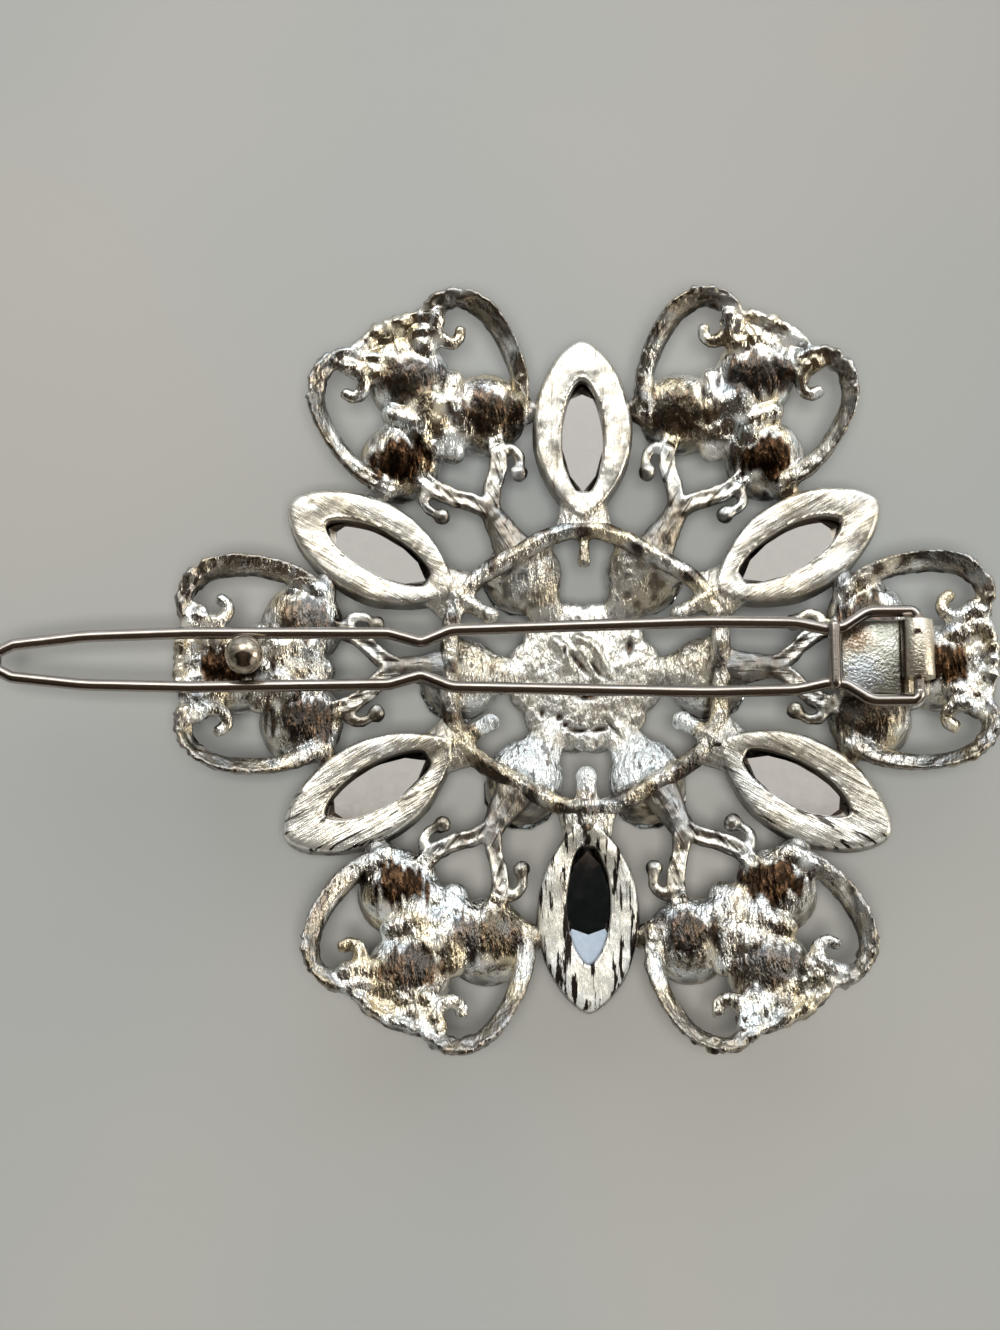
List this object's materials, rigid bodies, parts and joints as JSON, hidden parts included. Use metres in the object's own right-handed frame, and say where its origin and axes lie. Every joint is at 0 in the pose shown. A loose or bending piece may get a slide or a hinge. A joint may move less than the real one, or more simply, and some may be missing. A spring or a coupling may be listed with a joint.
{
  "type": "crystal flower brooch with a hinged hair clip wire",
  "caption": "Openwork crystal flower in plated metal, shown from the back, with a hinged wire clip that closes over a ball catch.",
  "frame": {"origin": "middle of the centre stone's table, the lowest face, on which the flower lies face down", "axes": "+Z from the stones' front to the clip on the back, +X from the flower's middle to the clip's hinge"},
  "size_m": [0.0674, 0.0522, 0.0131],
  "materials": {
    "plated_casting": "bright plated white metal over a grainy cast surface",
    "plated_leaf": "smooth plated strip with a soft sheen",
    "steel_wire": "drawn spring wire, smooth and bright",
    "crystal": "clear cut glass with polished facets"
  },
  "bodies": {
    "flower": {"flower_frame": "plated_casting", "hinge_leaf": "plated_leaf", "stone_center": "crystal", "stone_inner_1": "crystal", "stone_inner_2": "crystal", "stone_inner_3": "crystal", "stone_inner_4": "crystal", "stone_inner_5": "crystal", "stone_inner_6": "crystal", "stone_boat_1": "crystal", "stone_boat_2": "crystal", "stone_boat_3": "crystal", "stone_boat_4": "crystal", "stone_boat_5": "crystal", "stone_boat_6": "crystal", "stone_petal_1": "crystal", "stone_petal_2": "crystal", "stone_petal_3": "crystal", "stone_petal_4": "crystal", "stone_petal_5": "crystal", "stone_petal_6": "crystal", "stone_petal_7": "crystal", "stone_petal_8": "crystal", "stone_petal_9": "crystal", "stone_petal_10": "crystal", "stone_petal_11": "crystal", "stone_petal_12": "crystal", "stone_petal_13": "crystal", "stone_petal_14": "crystal", "stone_petal_15": "crystal", "stone_petal_16": "crystal", "stone_petal_17": "crystal", "stone_petal_18": "crystal"},
    "clip": {"clip_wire": "steel_wire"}
  },
  "joints": [
    {"name": "clip_hinge", "type": "hinge", "parent": "flower", "child": "clip", "pos_m": [0.0221, 0, 0.01045], "axis": [0, 1, 0], "range_deg": [0, 115]}
  ]
}
